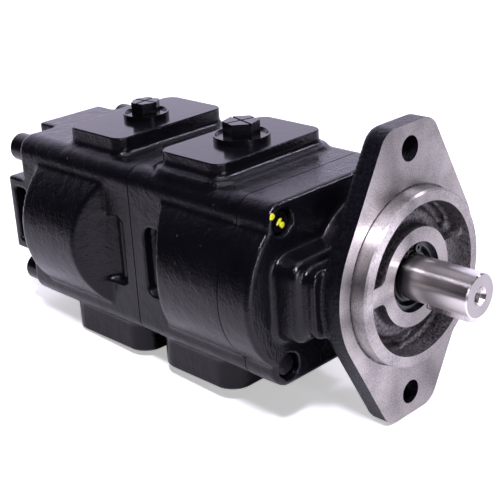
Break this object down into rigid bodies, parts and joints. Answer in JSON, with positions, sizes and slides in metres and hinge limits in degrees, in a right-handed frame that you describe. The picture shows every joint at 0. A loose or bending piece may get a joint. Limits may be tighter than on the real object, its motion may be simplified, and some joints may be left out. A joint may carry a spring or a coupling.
{
  "type": "hydraulic gear pump",
  "caption": "Tandem external gear pump in cast housings with a pilot mounting flange, a keyed drive shaft, plugged outlet pads and threaded inlet pads.",
  "frame": {"origin": "centre of the pilot, on the flange's mounting face", "axes": "+X out along the drive shaft, +Z towards the outlet pads, and the driven gears lie on the -Y side"},
  "size_m": [0.3195, 0.1523, 0.174],
  "materials": {
    "gloss_black_paint": "gloss paint over a cast surface",
    "ground_steel": "ground",
    "spring_steel": "oiled, dark",
    "bearing_aluminium": "machined",
    "bush_bronze": "satin",
    "seal_rubber": "matte",
    "plug_plastic": "semi-matte moulded"
  },
  "bodies": {
    "pump_body": {"front_cover": "gloss_black_paint", "front_gear_housing": "gloss_black_paint", "rear_gear_housing": "gloss_black_paint", "tie_bolts": "gloss_black_paint", "cover_joint_dowels": "ground_steel", "middle_joint_dowels": "ground_steel", "front_section_front_block": "bearing_aluminium", "front_section_rear_block": "bearing_aluminium", "rear_section_front_block": "bearing_aluminium", "rear_section_rear_block": "bearing_aluminium", "front_section_front_drive_bush": "bush_bronze", "front_section_front_driven_bush": "bush_bronze", "front_section_rear_drive_bush": "bush_bronze", "front_section_rear_driven_bush": "bush_bronze", "rear_section_front_drive_bush": "bush_bronze", "rear_section_front_driven_bush": "bush_bronze", "rear_section_rear_drive_bush": "bush_bronze", "rear_section_rear_driven_bush": "bush_bronze", "front_section_front_block_seal": "seal_rubber", "front_section_rear_block_seal": "seal_rubber", "rear_section_front_block_seal": "seal_rubber", "rear_section_rear_block_seal": "seal_rubber", "cover_joint_seal": "seal_rubber", "middle_joint_seal": "seal_rubber", "shaft_seal": "seal_rubber", "seal_retaining_ring": "spring_steel", "front_outlet_plug": "plug_plastic", "rear_outlet_plug": "plug_plastic"},
    "drive_train": {"drive_shaft": "ground_steel", "shaft_key": "ground_steel", "coupling_shaft": "ground_steel", "rear_drive_gear": "ground_steel"},
    "front_driven_rotor": {"front_driven_gear": "ground_steel"},
    "rear_driven_rotor": {"rear_driven_gear": "ground_steel"}
  },
  "joints": [
    {"name": "drive_spin", "type": "hinge", "parent": "pump_body", "child": "drive_train", "pos_m": [0, 0, 0], "axis": [1, 0, 0], "continuous": true},
    {"name": "front_driven_spin", "type": "hinge", "parent": "pump_body", "child": "front_driven_rotor", "pos_m": [-0.1, -0.0398, 0], "axis": [1, 0, 0], "continuous": true},
    {"name": "rear_driven_spin", "type": "hinge", "parent": "pump_body", "child": "rear_driven_rotor", "pos_m": [-0.19, -0.0398, 0], "axis": [1, 0, 0], "continuous": true}
  ],
  "couplings": [
    {"joint": "front_driven_spin", "follows": "drive_spin", "ratio": -1},
    {"joint": "rear_driven_spin", "follows": "drive_spin", "ratio": -1}
  ]
}
